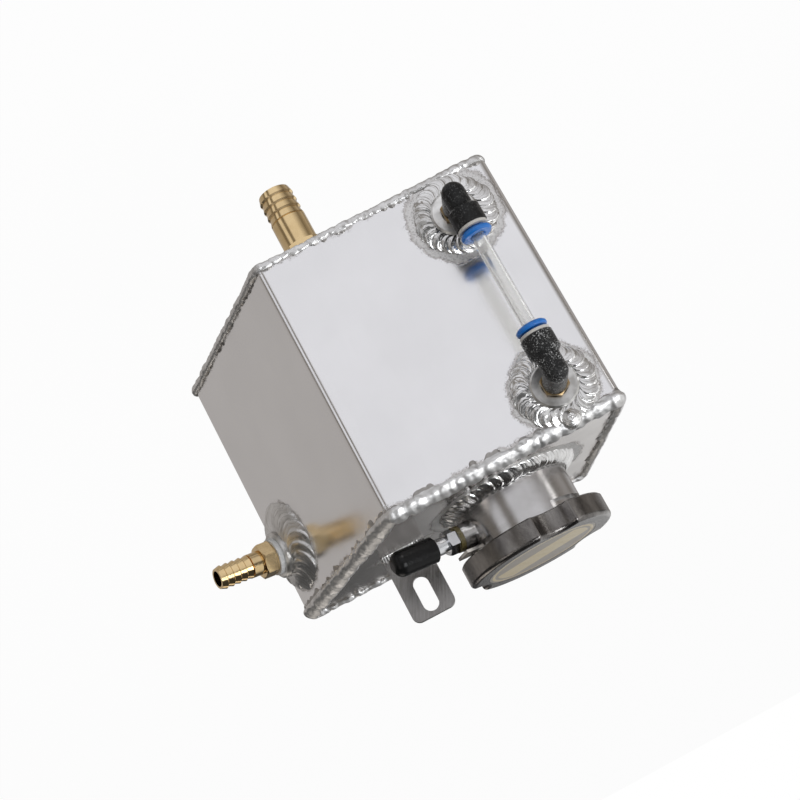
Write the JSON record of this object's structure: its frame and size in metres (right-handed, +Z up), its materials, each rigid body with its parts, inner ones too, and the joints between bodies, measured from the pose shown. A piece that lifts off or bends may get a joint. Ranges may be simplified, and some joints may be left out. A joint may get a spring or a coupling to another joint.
{
  "type": "coolant expansion tank",
  "caption": "Welded aluminium coolant expansion tank with a bayonet pressure cap, a sight tube, hose barbs below and at the side, and a slotted bracket.",
  "frame": {"origin": "centre of the bracket slot, in the middle of the tab's thickness", "axes": "+Z up towards the cap, -Y towards the sight gauge, +X towards the side inlet"},
  "size_m": [0.1838, 0.1338, 0.1929],
  "materials": {
    "sheet": "satin",
    "weld": "rough cast",
    "machined": "turned",
    "brass": "turned",
    "black_plastic": "moulded",
    "pale_plastic": "moulded",
    "blue_plastic": "moulded",
    "clear_plastic": "clear",
    "white_tape": "wound",
    "rubber": "moulded",
    "sealant": "soft",
    "steel": "pressed",
    "zinc": "plated",
    "cap_metal": "dark anodised",
    "cap_label": "printed"
  },
  "bodies": {
    "tank": {"tank_wrap": "sheet", "top_plate": "sheet", "bottom_plate": "sheet", "bracket_tab": "sheet", "top_edge_weld": "weld", "bottom_edge_weld": "weld", "wrap_seam_weld": "weld", "neck_weld": "weld", "gauge_weld_lower": "weld", "gauge_weld_upper": "weld", "outlet_bung_weld": "weld", "side_bung_weld": "weld", "tab_weld_front": "weld", "tab_weld_rear": "weld", "filler_neck": "machined", "gauge_bung_lower": "machined", "gauge_bung_upper": "machined", "outlet_bung": "machined", "side_bung": "machined", "elbow_stud_lower": "brass", "elbow_stud_upper": "brass", "outlet_barb": "brass", "side_barb": "brass", "elbow_body_lower": "black_plastic", "elbow_body_upper": "black_plastic", "elbow_mouth_ring_lower": "pale_plastic", "elbow_mouth_ring_upper": "pale_plastic", "sight_tube": "clear_plastic", "outlet_thread_tape": "white_tape", "side_thread_tape": "white_tape", "elbow_oring_lower": "rubber", "elbow_oring_upper": "rubber", "nipple_seal": "sealant", "elbow_claw_lower": "steel", "elbow_claw_upper": "steel", "overflow_nipple": "zinc"},
    "cap": {"cap_shell": "cap_metal", "cap_face": "cap_label", "cap_locking_plate": "steel", "cap_spring_disc": "steel", "cap_gasket": "rubber", "cap_bell": "steel", "cap_rivet": "brass", "pressure_spring": "steel"},
    "pressure_valve": {"pressure_valve": "steel", "valve_gasket": "rubber", "vacuum_spring": "steel"},
    "vacuum_valve": {"vacuum_valve": "steel"},
    "nipple_cap": {"nipple_cap": "rubber"},
    "collet_lower": {"elbow_collet_lower": "blue_plastic"},
    "collet_upper": {"elbow_collet_upper": "blue_plastic"}
  },
  "joints": [
    {"name": "cap_turn", "type": "hinge", "parent": "tank", "child": "cap", "pos_m": [-0.0504, -0.014, -0.0015], "axis": [0, 0, 1], "range_deg": [0, 70]},
    {"name": "pressure_valve_lift", "type": "slide", "parent": "cap", "child": "pressure_valve", "axis": [0, 0, 1], "range_m": [0, 0.002], "stiffness_N_per_m": 300, "deforming": ["pressure_spring"]},
    {"name": "vacuum_valve_drop", "type": "slide", "parent": "pressure_valve", "child": "vacuum_valve", "axis": [0, 0, -1], "range_m": [0, 0.0015], "stiffness_N_per_m": 200, "springref_m": -0.0008, "deforming": ["vacuum_spring"]},
    {"name": "nipple_cap_pull", "type": "slide", "parent": "tank", "child": "nipple_cap", "axis": [0.9272, -0.3746, 0], "range_m": [0, 0.02]},
    {"name": "collet_press_lower", "type": "slide", "parent": "tank", "child": "collet_lower", "axis": [0, 0, -1], "range_m": [0, 0.001], "stiffness_N_per_m": 300},
    {"name": "collet_press_upper", "type": "slide", "parent": "tank", "child": "collet_upper", "axis": [0, 0, 1], "range_m": [0, 0.001], "stiffness_N_per_m": 300}
  ]
}
